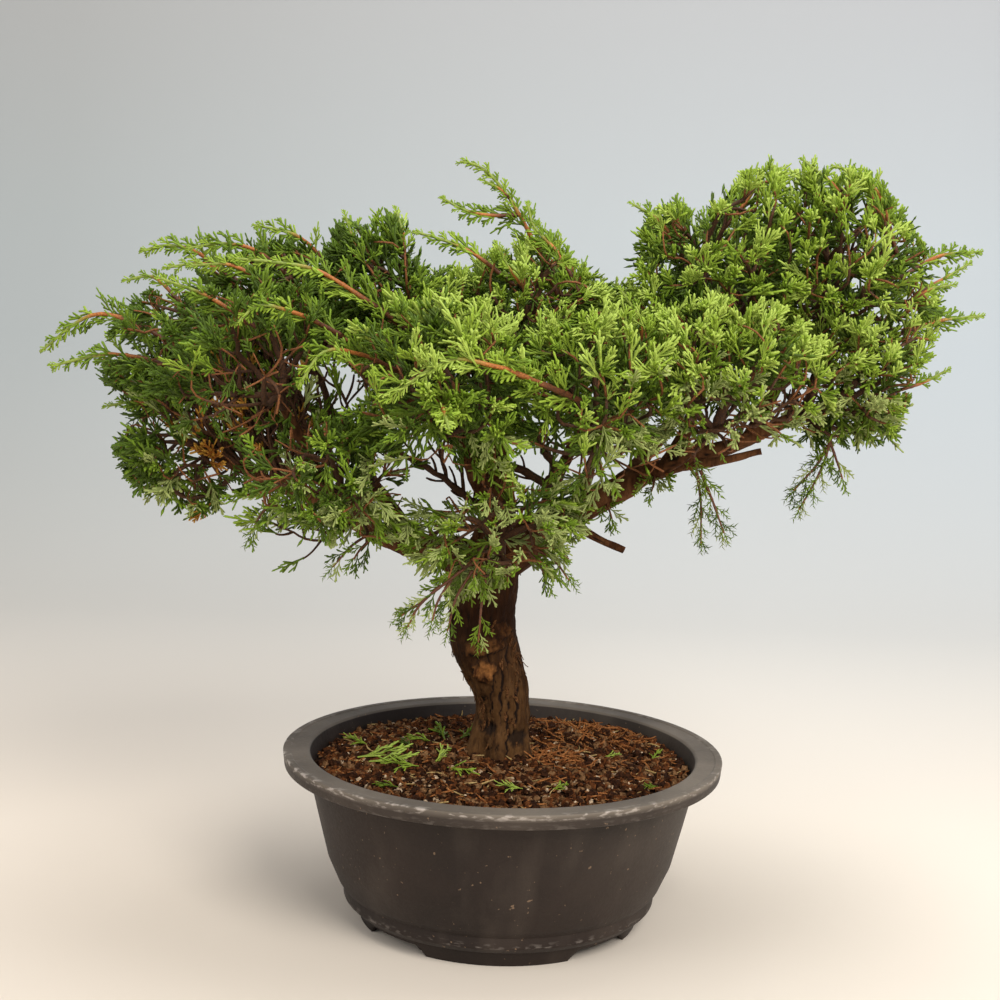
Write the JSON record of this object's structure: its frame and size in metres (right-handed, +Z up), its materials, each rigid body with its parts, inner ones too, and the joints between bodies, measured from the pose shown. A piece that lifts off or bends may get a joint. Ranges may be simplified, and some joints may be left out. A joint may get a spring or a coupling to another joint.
{
  "type": "potted juniper bonsai",
  "caption": "Juniper bonsai with a bent trunk, rising boughs and spreading masses of green sprays, in a round dark pot filled with soil.",
  "frame": {"origin": "on the ground under the middle of the round pot, which is under the middle of the crown", "axes": "+Z up, -Y to the front that the picture shows, +X to the right of that front"},
  "size_m": [0.5904, 0.368, 0.4841],
  "materials": {
    "pot": "matt charcoal plastic, dusty and scuffed pale along its edges",
    "soil": "damp bark and peat soil with small tan grains and straw",
    "bark": "rough flaking red-brown bark",
    "foliage": "matt to satin scale needles, yellow-green at the tips"
  },
  "bodies": {
    "root": {"pot": "pot", "soil": "soil", "trunk": "bark", "bough_left": "bark", "bough_right": "bark", "bough_left_tip": "bark", "bough_left_mid": "bark", "bough_left_front": "bark", "bough_left_back": "bark", "bough_left_top": "bark", "bough_centre_top": "bark", "bough_centre_front": "bark", "bough_centre_back": "bark", "bough_centre_right": "bark", "bough_back_right": "bark", "bough_right_mid": "bark", "bough_dome_left": "bark", "bough_dome_right": "bark", "bough_dome_back": "bark", "bough_low_front": "bark", "stub_right_under": "bark", "stub_low_right": "bark", "foliage_left_tip": "foliage", "foliage_left_low": "foliage", "foliage_left_mid": "foliage", "foliage_left_front": "foliage", "foliage_left_back": "foliage", "foliage_left_top": "foliage", "foliage_centre_top": "foliage", "foliage_centre_front": "foliage", "foliage_centre_back": "foliage", "foliage_apex": "foliage", "foliage_centre_right": "foliage", "foliage_back_right": "foliage", "foliage_right_mid": "foliage", "foliage_right_low": "foliage", "foliage_dome_left": "foliage", "foliage_dome_right": "foliage", "foliage_dome_back": "foliage", "foliage_low_front": "foliage"}
  },
  "joints": []
}
